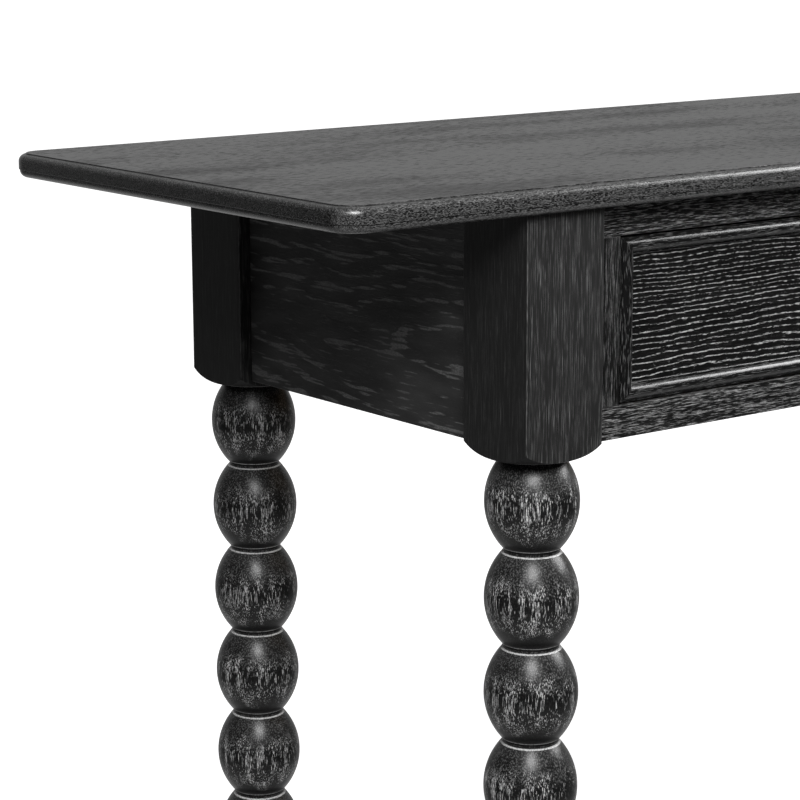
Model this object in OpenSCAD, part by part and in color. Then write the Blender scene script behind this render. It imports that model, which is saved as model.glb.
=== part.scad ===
// Console table with bobbin-turned legs and two drawers.
// Millimetres. Origin on the floor at the middle of the table, +X along its length, -Y to the front.

/* [Overall] */
// Height from the floor to the top surface
height = 762; // [650:1:950]
// Length of the top
top_length = 1524; // [1100:1:1900]
// Depth of the top from front to back
top_depth = 406; // [340:1:520]

/* [Top] */
// Thickness of the top
top_t = 17; // [14:0.5:24]
// How far the top runs past the posts at each end
end_overhang = 146; // [20:1:200]
// How far the top runs past the posts at the front and the back
front_overhang = 9; // [2:0.5:30]
// Radius of the top's corners, seen from above
plan_corner_r = 22; // [10:1:40]
// Radius of the rounding along the upper edge
upper_round = 5.2; // [2:0.1:6]
// Step between the top surface and the upper rounding
quirk = 0.7; // [0.3:0.1:1]
// Radius of the rounding along the lower edge
lower_round = 5; // [2:0.1:6]
// Depth and height of the fine groove above the lower rounding
edge_groove = 0.7; // [0.3:0.1:1]

/* [Legs] */
// Side of the square post
post = 64; // [52:1:80]
// Number of beads on a leg
bead_count = 9; // [5:1:12]
// Largest diameter of a bead
bead_d = 62.8; // [50:0.1:80]
// Diameter of a bead where it meets a neck
bead_end_d = 39.4; // [30:0.1:46]
// Diameter of the necks between beads
neck_d = 37.2; // [26:0.1:44]
// Height of a neck
neck_h = 3.4; // [2:0.1:6]
// Radius of the turned rounding under the post
shoulder_r = 30; // [24:1:40]
// How far inside the post's faces that rounding turns flat
shoulder_step = 8.5; // [4:0.5:14]
// How far above the aprons' lower edge that rounding reaches on the post's corners
shoulder_up = 2.5; // [-2:0.5:6]
// Distance from the apron's lower edge down to the first neck
neck_drop = 4; // [2:0.5:10]

/* [Frame] */
// Thickness of the aprons
apron_t = 20; // [16:1:24]
// How far the end and back aprons sit inside the post faces
apron_recess = 9.5; // [3:0.5:14]
// Height of the rails above and below the drawers
rail_h = 22; // [18:1:32]
// Thickness of the rails and stiles
rail_t = 22; // [18:1:26]
// How far the rails sit inside the front faces of the posts
rail_recess = 12; // [4:0.5:16]
// Height of the drawer openings
opening_h = 112; // [90:1:160]
// Width of the stiles beside the posts
side_stile_w = 25; // [18:1:50]
// Width of the stile between the drawers
middle_stile_w = 32; // [24:1:60]

/* [Joinery] */
// Thickness of the tenons
tenon_t = 8; // [6:0.5:10]
// Length of the tenons into the posts
tenon_l = 22; // [12:1:26]
// Shoulder above and below an apron's tenon
tenon_shoulder = 12; // [6:1:20]
// Shoulder above and below a rail's tenon
rail_shoulder = 4; // [2:0.5:6]
// Length of the stub tenons on the stiles
stub_l = 8; // [5:0.5:12]
// Clearance on each side of a tenon in its mortise
glue_gap = 0.15; // [0.05:0.05:0.3]
// Clearance round a screw in its hole
screw_gap = 0.1; // [0.05:0.05:0.2]
// Length of the stub tenons on runners and kickers
bearer_stub_l = 6; // [4:0.5:6.5]

/* [Drawer bearers] */
// How far the runners' undersides lie above the rail's underside
runner_lift = 2; // [0:0.5:6]
// Width of a runner under a drawer side
bearing_w = 20; // [14:1:30]
// Width of the guides beside the outer drawer sides
guide_w = 12; // [8:1:20]
// Height of the guides
guide_h = 24; // [15:1:40]
// Width of the kickers over the outer drawer sides
kicker_w = 22; // [14:1:30]
// Leg of the triangular glue blocks
block_leg = 28; // [18:1:32]
// Height of the glue blocks
block_h = 112; // [60:1:120]

/* [Drawers] */
// Gap round a drawer front in its opening
drawer_gap = 1.5; // [1:0.1:3]
// Clearance between a drawer side and its runner
slide_gap = 0.4; // [0.3:0.1:1]
// Thickness of a drawer front behind its field
front_t = 18; // [15:0.5:22]
// How far the field lies behind the rails
field_recess = 4; // [2:0.5:8]
// Room left between a drawer and the back apron
back_room = 42.5; // [32:0.5:90]
// Thickness of drawer sides and backs
side_t = 12; // [10:0.5:15]
// Room above the drawer sides in the opening
side_room = 7.6; // [3:0.1:20]
// Distance from the drawer back to the ends of the sides
back_inset = 12; // [6:1:30]
// Thickness of the bottom panel
bottom_t = 6; // [4:0.5:8]
// Height of the bottom panel above the lower edges of the sides
bottom_lift = 8; // [6:0.5:12]
// Depth of the grooves that hold the bottom panel
bottom_groove = 6; // [4:0.5:7]
// Number of dovetails at a front corner
tails = 3; // [2:1:5]
// Wood left in front of the dovetails
lap = 6; // [4:0.5:8]

/* [Bead moulding] */
// Height of the moulding's outer fillet above the field
fillet_v = 3; // [2:0.1:5]
// Width of the moulding's outer fillet
fillet_w = 1.2; // [0.8:0.1:2]
// Width of the round part of the moulding
round_w = 9; // [7:0.5:11]
// Rise of the round part above the fillet
round_rise = 2.7; // [1:0.1:4]
// Height of the small inner fillet
inner_v = 1.5; // [0.8:0.1:2]
// Width of the small inner fillet
inner_fillet_w = 2.8; // [2:0.1:5]

/* [Fittings] */
// Largest diameter of a knob
knob_d = 32; // [24:1:40]
// Distance that a knob stands out from the field
knob_l = 23; // [18:0.5:24]
// Diameter of the wood screws
screw_d = 4; // [3:0.5:5]
// Length of the wood screws
screw_l = 20; // [16:1:28]
// Diameter of the foot glides
glide_d = 32; // [24:1:36]
// Thickness of the foot glides
glide_t = 4; // [3:0.5:8]
// Width of a top clip
clip_w = 20; // [14:1:30]
// Thickness of a top clip
clip_t = 1.6; // [1:0.1:2.5]

/* [Hidden] */
$fn = 72;
eps = 0.01;
black_oak = "#242424";
drawer_wood = "#b59a72";
steel = "#8f9296";
nylon = "#303030";

// Levels
under_top = height - top_t;
apron_h = 2 * rail_h + opening_h;
frame_z = under_top - apron_h;
opening_z = frame_z + rail_h;

// Leg places
leg_x = top_length / 2 - end_overhang - post / 2;
leg_y = top_depth / 2 - front_overhang - post / 2;

// Bead shape: an arc through the widest point and the two ends of the bead
bead_pitch = (frame_z - neck_drop) / bead_count;
bead_half = (bead_pitch - neck_h) / 2;
bead_rise = (bead_d - bead_end_d) / 2;
bead_arc = (bead_rise * bead_rise + bead_half * bead_half) / (2 * bead_rise);
shoulder_in = post / 2 - shoulder_step;
corner_angle = acos((post / sqrt(2) - shoulder_in) / shoulder_r);
shoulder_z = frame_z + shoulder_up + shoulder_r * sin(corner_angle);

// Frame planes
apron_out_x = leg_x + post / 2 - apron_recess;
apron_in_x = apron_out_x - apron_t;
apron_out_y = leg_y + post / 2 - apron_recess;
apron_in_y = apron_out_y - apron_t;
rail_face_y = -leg_y - post / 2 + rail_recess;
rail_back_y = rail_face_y + rail_t;
rail_mid_y = rail_face_y + rail_t / 2;
post_in_x = leg_x - post / 2;
post_in_y = leg_y - post / 2;
opening_out_x = post_in_x - side_stile_w;
opening_in_x = middle_stile_w / 2;
drawer_mid_x = (opening_out_x + opening_in_x) / 2;
bearer_l = apron_in_y - rail_back_y;

// Drawer places, for the drawer on the +X side
drawer_in_x = opening_in_x + drawer_gap;
drawer_out_x = opening_out_x - drawer_gap;
drawer_w = drawer_out_x - drawer_in_x;
front_h = opening_h - 2 * drawer_gap;
front_z = opening_z + drawer_gap;
field_y = rail_face_y + field_recess;
front_back_y = field_y + front_t;
side_z = opening_z + slide_gap;
side_h = opening_h - slide_gap - side_room;
side_end_y = apron_in_y - back_room;
panel_z = side_z + bottom_lift;
inner_w = drawer_w - 2 * side_t;

// Drawer back, held in dados in the sides
back_y = side_end_y - back_inset - side_t;
back_dado = 4;
back_z = panel_z + bottom_t + glue_gap;
back_top_drop = 8;

// Dovetails
pitch_tail = side_h / tails;
tail_w = pitch_tail * 0.62;
tail_rise = 1 / 7;

// Bead moulding
bead_w = fillet_w + round_w + inner_fillet_w;

// Turn button inside the drawer back, reaching up behind the top rail
button_w = 20;
button_t = 8;
button_y = back_y - button_t;
button_z = side_z + side_h - 34;
button_top = opening_z + opening_h + rail_h / 2;
button_screw_z = button_z + 13;

// Stops behind the drawer sides
stop_gap = 0.3;
stop_w = 10;
stop_l = 20;
stop_h = 16;

// Stub tenons
stile_stub_w = 14;
bearer_stub_h = 8;
bearer_stub_w = 14;

// Runners and kickers
runner_h = rail_h - runner_lift;
kicker_low = opening_z + opening_h;
outer_runner_x = opening_out_x + (guide_w - bearing_w) / 2;
outer_kicker_x = opening_out_x - kicker_w / 2;

// Glue blocks
block_z = frame_z + (apron_h - block_h) / 2;
block_screw_levels = [block_z + block_h / 4, block_z + block_h * 3 / 4];

// Screws
screw_head_d = 2 * screw_d;
screw_head_h = 0.6 * screw_d;
screw_point = 3;
pan_head_h = 2;
fixing_x = [drawer_mid_x / 2, drawer_mid_x * 3 / 2];
rail_screw_z = under_top - screw_l + 8;

// Clips: a foot under the top, a drop and a tongue in the apron's slot
clip_slot_z = under_top - 12;
clip_slot_l = 10;
clip_reach = 9;
clip_foot = 16;
clip_play = 0.2;
clip_screw_in = 10;
end_clip_y = post_in_y / 2;

// Knobs
knob_z = front_z + front_h / 2;
knob_foot_d = 21;
knob_neck_d = 14;
knob_crown_h = 6.5;
knob_screw_d = 4;
knob_screw_in = 8;

// Foot glides
glide_pin_d = 5;
glide_pin_l = 14;

// Points along an arc about [cx, cy]
function arc(cx, cy, r, from, to, steps) =
  [for (i = [0 : steps]) let (a = from + (to - from) * i / steps) [cx + r * cos(a), cy + r * sin(a)]];

// A box from its low corner to its high corner
module block(low, high) {
  translate(low)
    cube(high - low);
}

// Children at both signs of X
module both_x() {
  for (side = [-1, 1])
    scale_x(side)
      children();
}

// Children as they are, or mirrored in X when the side is -1
module scale_x(side) {
  if (side < 0)
    mirror([1, 0, 0])
      children();
  else
    children();
}

// Children as they are, or mirrored in Y when the side is -1
module scale_y(side) {
  if (side < 0)
    mirror([0, 1, 0])
      children();
  else
    children();
}

// ---- Screws ----

// Countersunk wood screw, its head's top face at the origin, pointing along +Z
module screw() {
  cylinder(h = screw_head_h, d1 = screw_head_d, d2 = screw_d);
  cylinder(h = screw_l - screw_point, d = screw_d);
  translate([0, 0, screw_l - screw_point])
    cylinder(h = screw_point, d1 = screw_d, d2 = 0.6);
}

// The hole that such a screw needs
module screw_hole() {
  cylinder(h = screw_head_h + screw_gap, d1 = screw_head_d + 2 * screw_gap, d2 = screw_d + 2 * screw_gap);
  cylinder(h = screw_l + screw_gap, d = screw_d + 2 * screw_gap);
}

// ---- Top ----

// Section through the moulded edge, from its inner side at x = 0 out to the plan corner radius
module edge_section() {
  low_round_x = plan_corner_r - edge_groove - lower_round;
  groove_z = -top_t + lower_round;
  upper_x = plan_corner_r - upper_round;
  polygon(concat(
    [[0, -top_t]],
    arc(low_round_x, groove_z, lower_round, -90, 0, 7),
    [[plan_corner_r - edge_groove, groove_z + edge_groove]],
    [[plan_corner_r, groove_z + edge_groove]],
    arc(upper_x, -quirk - upper_round, upper_round, 0, 90, 8),
    [[upper_x, 0], [0, 0]]
  ));
}

module table_top() {
  half_l = top_length / 2 - plan_corner_r;
  half_d = top_depth / 2 - plan_corner_r;
  color(black_oak)
    difference() {
      translate([0, 0, height]) {
        translate([-half_l, -half_d, -top_t])
          cube([2 * half_l, 2 * half_d, top_t]);
        for (turn = [0, 180])
          rotate([0, 0, turn]) {
            translate([half_l, half_d, 0])
              rotate([90, 0, 0])
                linear_extrude(height = 2 * half_d)
                  edge_section();
            translate([-half_l, half_d, 0])
              rotate([90, 0, 90])
                linear_extrude(height = 2 * half_l)
                  edge_section();
            translate([half_l, half_d, 0])
              rotate_extrude(angle = 90)
                edge_section();
            translate([-half_l, half_d, 0])
              rotate([0, 0, 90])
                rotate_extrude(angle = 90)
                  edge_section();
          }
      }
      clip_screw_places()
        cylinder(h = clip_t + clip_screw_in + screw_gap, d = screw_d + 2 * screw_gap);
      rail_screw_places()
        screw_hole();
    }
}

// ---- Legs ----

// Half section of the bead stack, from the glide up into the post
module bead_section() {
  for (i = [0 : bead_count - 1])
    translate([bead_d / 2 - bead_arc, (i + 0.5) * bead_pitch])
      intersection() {
        circle(r = bead_arc, $fn = 180);
        translate([bead_arc - bead_d / 2, -bead_half])
          square([bead_d / 2, 2 * bead_half]);
      }
  for (i = [0 : bead_count])
    translate([0, i * bead_pitch - neck_h / 2 - eps])
      square([neck_d / 2, neck_h + 2 * eps]);
}

// Half section that the lathe leaves at the lower end of the post
module shoulder_section() {
  reach = shoulder_in + shoulder_r;
  intersection() {
    union() {
      translate([shoulder_in, shoulder_z])
        circle(r = shoulder_r, $fn = 120);
      translate([0, shoulder_z - shoulder_r])
        square([shoulder_in, shoulder_r]);
      translate([0, shoulder_z])
        square([reach, under_top - shoulder_z]);
    }
    translate([0, frame_z - post])
      square([2 * post, under_top - frame_z + post]);
  }
}

// A mortise in a leg's +Y face for the end apron's tenon
module end_apron_mortise() {
  across = post / 2 - apron_recess - apron_t / 2;
  block(
    [-across - tenon_t / 2 - glue_gap, post / 2 - tenon_l - glue_gap, frame_z + tenon_shoulder - glue_gap],
    [-across + tenon_t / 2 + glue_gap, post / 2 + eps, under_top - tenon_shoulder + glue_gap]
  );
}

// A mortise in a leg's +X face, for a tenon at the given distance across and between two levels
module rail_mortise(across, low, high) {
  block(
    [post / 2 - tenon_l - glue_gap, across - tenon_t / 2 - glue_gap, low - glue_gap],
    [post / 2 + eps, across + tenon_t / 2 + glue_gap, high + glue_gap]
  );
}

// Front-left leg about its own axis. The others are its mirror images
module leg(front) {
  difference() {
    union() {
      intersection() {
        translate([-post / 2, -post / 2, frame_z - post])
          cube([post, post, under_top - frame_z + post]);
        rotate_extrude()
          shoulder_section();
      }
      rotate_extrude()
        bead_section();
    }
    translate([0, 0, -post])
      cylinder(h = post + glide_t, d = 2 * post);
    cylinder(h = glide_t + glide_pin_l + screw_gap, d = glide_pin_d + 2 * screw_gap);
    end_apron_mortise();
    if (front) {
      across = -post / 2 + rail_recess + rail_t / 2;
      rail_mortise(across, frame_z + rail_shoulder, opening_z - rail_shoulder);
      rail_mortise(across, under_top - rail_h + rail_shoulder, under_top - rail_shoulder);
    } else {
      across = -post / 2 + apron_recess + apron_t / 2;
      rail_mortise(across, frame_z + tenon_shoulder, under_top - tenon_shoulder);
    }
  }
}

module leg_front_left() {
  color(black_oak)
    translate([-leg_x, -leg_y, 0])
      leg(true);
}

module leg_front_right() {
  color(black_oak)
    mirror([1, 0, 0])
      translate([-leg_x, -leg_y, 0])
        leg(true);
}

module leg_back_left() {
  color(black_oak)
    mirror([0, 1, 0])
      translate([-leg_x, -leg_y, 0])
        leg(false);
}

module leg_back_right() {
  color(black_oak)
    mirror([0, 1, 0])
      mirror([1, 0, 0])
        translate([-leg_x, -leg_y, 0])
          leg(false);
}

// ---- Foot glides ----

module foot_glides() {
  color(nylon)
    for (x = [-leg_x, leg_x], y = [-leg_y, leg_y])
      translate([x, y, 0]) {
        cylinder(h = 1, d1 = glide_d - 2, d2 = glide_d);
        translate([0, 0, 1])
          cylinder(h = glide_t - 1, d = glide_d);
        cylinder(h = glide_t + glide_pin_l, d = glide_pin_d);
      }
}

// ---- Aprons ----

// End apron at the +X end
module end_apron() {
  mid_x = (apron_in_x + apron_out_x) / 2;
  difference() {
    union() {
      block([apron_in_x, -post_in_y, frame_z], [apron_out_x, post_in_y, under_top]);
      block(
        [mid_x - tenon_t / 2, -post_in_y - tenon_l, frame_z + tenon_shoulder],
        [mid_x + tenon_t / 2, post_in_y + tenon_l, under_top - tenon_shoulder]
      );
    }
    for (y = [-end_clip_y, end_clip_y])
      block(
        [apron_in_x - eps, y - clip_w / 2 - clip_play, clip_slot_z - clip_play],
        [apron_in_x + clip_slot_l, y + clip_w / 2 + clip_play, clip_slot_z + clip_t + clip_play]
      );
    for (y = [-post_in_y + block_leg / 2, post_in_y - block_leg / 2], z = block_screw_levels)
      translate([apron_in_x - block_leg / 4, y, z])
        rotate([0, 90, 0])
          cylinder(h = screw_l + screw_gap, d = screw_d + 2 * screw_gap);
  }
}

module end_apron_left() {
  color(black_oak)
    mirror([1, 0, 0])
      end_apron();
}

module end_apron_right() {
  color(black_oak)
    end_apron();
}

module back_apron() {
  mid_y = (apron_in_y + apron_out_y) / 2;
  color(black_oak)
    difference() {
      union() {
        block([-post_in_x, apron_in_y, frame_z], [post_in_x, apron_out_y, under_top]);
        block(
          [-post_in_x - tenon_l, mid_y - tenon_t / 2, frame_z + tenon_shoulder],
          [post_in_x + tenon_l, mid_y + tenon_t / 2, under_top - tenon_shoulder]
        );
      }
      both_x() {
        for (x = fixing_x)
          block(
            [x - clip_w / 2 - clip_play, apron_in_y - eps, clip_slot_z - clip_play],
            [x + clip_w / 2 + clip_play, apron_in_y + clip_slot_l, clip_slot_z + clip_t + clip_play]
          );
      }
      bearer_stubs(glue_gap);
    }
}

// ---- Front rails and stiles ----

// A rail between the front posts whose lower face is at the given level
module front_rail(low) {
  block([-post_in_x, rail_face_y, low], [post_in_x, rail_back_y, low + rail_h]);
  block(
    [-post_in_x - tenon_l, rail_mid_y - tenon_t / 2, low + rail_shoulder],
    [post_in_x + tenon_l, rail_mid_y + tenon_t / 2, low + rail_h - rail_shoulder]
  );
}

// Stub tenons of the three stiles, grown by a clearance
module stile_stubs(grow) {
  for (x = [-(post_in_x + opening_out_x) / 2, 0, (post_in_x + opening_out_x) / 2])
    block(
      [x - stile_stub_w / 2 - grow, rail_mid_y - tenon_t / 2 - grow, opening_z - stub_l - grow],
      [x + stile_stub_w / 2 + grow, rail_mid_y + tenon_t / 2 + grow, opening_z + opening_h + stub_l + grow]
    );
}

module top_rail() {
  color(black_oak)
    difference() {
      front_rail(opening_z + opening_h);
      stile_stubs(glue_gap);
      bearer_stubs(glue_gap);
      rail_screw_places() {
        screw_hole();
        translate([0, 0, -rail_h])
          cylinder(h = rail_h + eps, d = screw_head_d + 1);
      }
    }
}

module bottom_rail() {
  color(black_oak)
    difference() {
      front_rail(frame_z);
      stile_stubs(glue_gap);
      bearer_stubs(glue_gap);
    }
}

// A stile between the rails, from one X to another, with its stub tenons
module stile(from_x, to_x) {
  mid_x = (from_x + to_x) / 2;
  block([from_x, rail_face_y, opening_z], [to_x, rail_back_y, opening_z + opening_h]);
  block(
    [mid_x - stile_stub_w / 2, rail_mid_y - tenon_t / 2, opening_z - stub_l],
    [mid_x + stile_stub_w / 2, rail_mid_y + tenon_t / 2, opening_z + opening_h + stub_l]
  );
}

module side_stile_left() {
  color(black_oak)
    mirror([1, 0, 0])
      stile(opening_out_x, post_in_x);
}

module side_stile_right() {
  color(black_oak)
    stile(opening_out_x, post_in_x);
}

module middle_stile() {
  color(black_oak)
    stile(-opening_in_x, opening_in_x);
}

// ---- Runners, guides and kickers ----

// One stub tenon at each end of a bearer that runs from front to back
module bearer_stub(x, low, high, grow) {
  mid_z = (low + high) / 2;
  half_w = bearer_stub_w / 2 + grow;
  half_h = bearer_stub_h / 2 + grow;
  reach = bearer_stub_l + grow;
  block([x - half_w, rail_back_y - reach, mid_z - half_h], [x + half_w, apron_in_y + reach, mid_z + half_h]);
}

// The stub tenons of every runner and kicker, grown by a clearance
module bearer_stubs(grow) {
  for (x = [-outer_runner_x, 0, outer_runner_x])
    bearer_stub(x, opening_z - runner_h, opening_z, grow);
  for (x = [-outer_kicker_x, 0, outer_kicker_x])
    bearer_stub(x, kicker_low, under_top, grow);
}

// A bearer from the front rail to the back apron, centred on x
module bearer(x, width, low, high) {
  block([x - width / 2, rail_back_y, low], [x + width / 2, apron_in_y, high]);
  bearer_stub(x, low, high, 0);
}

module outer_runner() {
  color(drawer_wood)
    bearer(outer_runner_x, guide_w + bearing_w, opening_z - runner_h, opening_z);
}

module runner_left() {
  mirror([1, 0, 0])
    outer_runner();
}

module runner_right() {
  outer_runner();
}

module runner_centre() {
  color(drawer_wood)
    bearer(0, middle_stile_w + 2 * bearing_w, opening_z - runner_h, opening_z);
}

module outer_guide() {
  color(drawer_wood)
    block(
      [opening_out_x, rail_back_y, opening_z],
      [opening_out_x + guide_w, apron_in_y, opening_z + guide_h]
    );
}

module guide_left() {
  mirror([1, 0, 0])
    outer_guide();
}

module guide_right() {
  outer_guide();
}

module guide_centre() {
  color(drawer_wood)
    block([-opening_in_x, rail_back_y, opening_z], [opening_in_x, apron_in_y, opening_z + guide_h]);
}

module outer_kicker() {
  color(drawer_wood)
    bearer(outer_kicker_x, kicker_w, kicker_low, under_top);
}

module kicker_left() {
  mirror([1, 0, 0])
    outer_kicker();
}

module kicker_right() {
  outer_kicker();
}

module kicker_centre() {
  color(drawer_wood)
    bearer(0, middle_stile_w + 2 * kicker_w, kicker_low, under_top);
}

// Blocks on the runners that the drawer sides close against
module drawer_stops() {
  inset = drawer_gap + (side_t - stop_w) / 2;
  color(drawer_wood)
    for (x = [opening_out_x - inset - stop_w, opening_in_x + inset])
      both_x()
        block(
          [x, side_end_y + stop_gap, opening_z],
          [x + stop_w, side_end_y + stop_gap + stop_l, opening_z + stop_h]
        );
}

// ---- Glue blocks ----

// Triangular block in the angle between the end apron and the post at +X, +Y
module glue_block() {
  color(drawer_wood)
    difference() {
      translate([0, 0, block_z])
        linear_extrude(height = block_h)
          polygon([
            [apron_in_x, post_in_y],
            [apron_in_x - block_leg, post_in_y],
            [apron_in_x, post_in_y - block_leg]
          ]);
      block_screw_places()
        translate([0, 0, -block_leg])
          cylinder(h = block_leg + eps, d = screw_head_d + 1);
      block_screw_places()
        screw_hole();
    }
}

// The screws through that block into the end apron
module block_screw_places() {
  for (z = block_screw_levels)
    translate([apron_in_x - block_leg / 4, post_in_y - block_leg / 2, z])
      rotate([0, 90, 0])
        children();
}

module glue_block_front_left() {
  mirror([0, 1, 0])
    mirror([1, 0, 0])
      glue_block();
}

module glue_block_front_right() {
  mirror([0, 1, 0])
    glue_block();
}

module glue_block_back_left() {
  mirror([1, 0, 0])
    glue_block();
}

module glue_block_back_right() {
  glue_block();
}

module glue_block_screws() {
  color(steel)
    for (y = [-1, 1])
      scale_y(y)
        both_x()
          block_screw_places()
            screw();
}

// ---- Top clips ----

// Z-shaped clip about its slot's mouth: the slot runs to +X, the foot lies under the top towards -X
module clip() {
  up = under_top - clip_slot_z;
  translate([0, clip_w / 2, 0])
    rotate([90, 0, 0])
      difference() {
        linear_extrude(height = clip_w)
          polygon([
            [clip_slot_l - 1, 0],
            [clip_slot_l - 1, clip_t],
            [-clip_reach + clip_t, clip_t],
            [-clip_reach + clip_t, up],
            [-clip_reach - clip_foot, up],
            [-clip_reach - clip_foot, up - clip_t],
            [-clip_reach, up - clip_t],
            [-clip_reach, 0]
          ]);
        translate([-clip_reach - clip_foot / 2, up - clip_t - eps, clip_w / 2])
          rotate([-90, 0, 0])
            cylinder(h = clip_t + 2 * eps, d = screw_d + 2 * screw_gap);
      }
}

// Every clip's place, its slot to the outside
module clip_places() {
  for (side = [0, 180])
    rotate([0, 0, side])
      for (y = [-end_clip_y, end_clip_y])
        translate([apron_in_x, y, clip_slot_z])
          children();
  for (x = concat(-1 * fixing_x, fixing_x))
    translate([x, apron_in_y, clip_slot_z])
      rotate([0, 0, 90])
        children();
}

// Every clip screw's place, its head's lower face under the clip
module clip_screw_places() {
  clip_places()
    translate([-clip_reach - clip_foot / 2, 0, under_top - clip_slot_z - clip_t])
      children();
}

module top_clips() {
  color(steel)
    clip_places()
      clip();
}

// Pan-headed screw that holds a clip
module clip_screw() {
  translate([0, 0, -pan_head_h])
    cylinder(h = pan_head_h, d = screw_head_d);
  cylinder(h = clip_t + clip_screw_in, d = screw_d);
}

module top_clip_screws() {
  color(steel)
    clip_screw_places()
      clip_screw();
}

// ---- Rail screws, up through the top rail into the top ----

module rail_screw_places() {
  for (x = concat(-1 * fixing_x, fixing_x))
    translate([x, rail_mid_y, rail_screw_z])
      children();
}

module rail_screws() {
  color(steel)
    rail_screw_places()
      screw();
}

// ---- Drawers: modelled on the +X side, mirrored for the left drawer ----

// Dovetails along a drawer side's front end, seen from the side, grown by a clearance
module tail_shapes(grow) {
  depth = front_t - lap;
  for (i = [0 : tails - 1]) {
    mid = side_z + (i + 0.5) * pitch_tail;
    wide = tail_w / 2 + grow;
    narrow = tail_w / 2 - depth * tail_rise + grow;
    polygon([
      [front_back_y + eps, mid - narrow],
      [front_back_y - depth - grow, mid - wide],
      [front_back_y - depth - grow, mid + wide],
      [front_back_y + eps, mid + narrow]
    ]);
  }
}

// The tails as a solid from one X to another
module tail_solids(from_x, to_x, grow) {
  translate([from_x, 0, 0])
    rotate([90, 0, 90])
      linear_extrude(height = to_x - from_x)
        tail_shapes(grow);
}

module drawer_front() {
  color(black_oak)
    difference() {
      block([drawer_in_x, field_y, front_z], [drawer_out_x, front_back_y, front_z + front_h]);
      tail_solids(drawer_in_x - eps, drawer_in_x + side_t + glue_gap, glue_gap);
      tail_solids(drawer_out_x - side_t - glue_gap, drawer_out_x + eps, glue_gap);
      block(
        [drawer_in_x + side_t - bottom_groove, front_back_y - bottom_groove, panel_z],
        [drawer_out_x - side_t + bottom_groove, front_back_y + eps, panel_z + bottom_t + glue_gap]
      );
      translate([drawer_mid_x, front_back_y + eps, knob_z])
        rotate([90, 0, 0])
          cylinder(h = front_t + 2 * eps, d = knob_screw_d + 2 * screw_gap);
    }
}

// The side whose outer face is at x = 0, reaching to +X
module drawer_side() {
  difference() {
    union() {
      block([0, front_back_y, side_z], [side_t, side_end_y, side_z + side_h]);
      tail_solids(0, side_t, 0);
    }
    block(
      [side_t - bottom_groove - glue_gap, field_y, panel_z],
      [side_t + eps, side_end_y + eps, panel_z + bottom_t + glue_gap]
    );
    block(
      [side_t - back_dado - glue_gap, back_y - glue_gap, panel_z],
      [side_t + eps, back_y + side_t + glue_gap, side_z + side_h + eps]
    );
  }
}

module drawer_inner_side() {
  color(drawer_wood)
    translate([drawer_in_x, 0, 0])
      drawer_side();
}

module drawer_outer_side() {
  color(drawer_wood)
    translate([drawer_out_x, 0, 0])
      mirror([1, 0, 0])
        drawer_side();
}

module drawer_back() {
  color(drawer_wood)
    difference() {
      block(
        [drawer_in_x + side_t - back_dado, back_y, back_z],
        [drawer_out_x - side_t + back_dado, back_y + side_t, side_z + side_h - back_top_drop]
      );
      drawer_screw_places()
        screw_hole();
    }
}

module drawer_bottom() {
  color(drawer_wood)
    difference() {
      block(
        [drawer_in_x + side_t - bottom_groove, front_back_y - bottom_groove + glue_gap, panel_z],
        [drawer_out_x - side_t + bottom_groove, side_end_y - back_inset, panel_z + bottom_t]
      );
      drawer_screw_places()
        screw_hole();
    }
}

// Two screws up through the bottom into the back, and one through the turn button into the back
module drawer_screw_places() {
  for (x = [drawer_mid_x - inner_w / 4, drawer_mid_x + inner_w / 4])
    translate([x, back_y + side_t / 2, panel_z])
      children();
  translate([drawer_mid_x, button_y, button_screw_z])
    rotate([-90, 0, 0])
      children();
}

module drawer_screws() {
  color(steel)
    intersection() {
      drawer_screw_places()
        screw();
      block(
        [drawer_in_x, 0, panel_z],
        [drawer_out_x, back_y + side_t - 1, side_z + side_h]
      );
    }
}

// Turn button inside the drawer's back: standing up it meets the top rail, turned it lets the drawer out
module drawer_stop_button() {
  color(drawer_wood)
    difference() {
      block(
        [drawer_mid_x - button_w / 2, button_y, button_z],
        [drawer_mid_x + button_w / 2, back_y, button_top]
      );
      drawer_screw_places()
        screw_hole();
    }
}

// ---- Bead moulding ----

// Section of the moulding: x from its outer edge inwards, y out from the field
module moulding_section() {
  arc_r = (round_w * round_w / 4 + round_rise * round_rise) / (2 * round_rise);
  half_angle = asin(round_w / 2 / arc_r);
  mid = fillet_w + round_w / 2;
  inner = fillet_w + round_w;
  polygon(concat(
    [[0, 0], [0, fillet_v]],
    arc(mid, fillet_v + round_rise - arc_r, arc_r, 90 + half_angle, 90 - half_angle, 12),
    [[inner, inner_v], [bead_w - inner_v / 2, inner_v], [bead_w, inner_v / 2], [bead_w, 0]]
  ));
}

// A mitred strip along X from 0 to its length, outer edge at z = 0, field side towards +Z
module moulding_strip(length) {
  tall = 2 * bead_w;
  intersection() {
    rotate([90, 0, 90])
      linear_extrude(height = length)
        rotate([0, 0, 90])
          moulding_section();
    rotate([90, 0, 0])
      linear_extrude(height = tall)
        polygon([[0, 0], [length, 0], [length - bead_w, bead_w], [bead_w, bead_w]]);
  }
}

module drawer_bead_bottom() {
  color(black_oak)
    translate([drawer_in_x, field_y, front_z])
      moulding_strip(drawer_w);
}

module drawer_bead_top() {
  color(black_oak)
    translate([drawer_in_x, field_y, front_z + front_h])
      mirror([0, 0, 1])
        moulding_strip(drawer_w);
}

module drawer_bead_inner() {
  color(black_oak)
    translate([drawer_in_x, field_y, front_z])
      mirror([1, 0, 0])
        rotate([0, -90, 0])
          moulding_strip(front_h);
}

module drawer_bead_outer() {
  color(black_oak)
    translate([drawer_out_x, field_y, front_z])
      rotate([0, -90, 0])
        moulding_strip(front_h);
}

// ---- Knob ----

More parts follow.
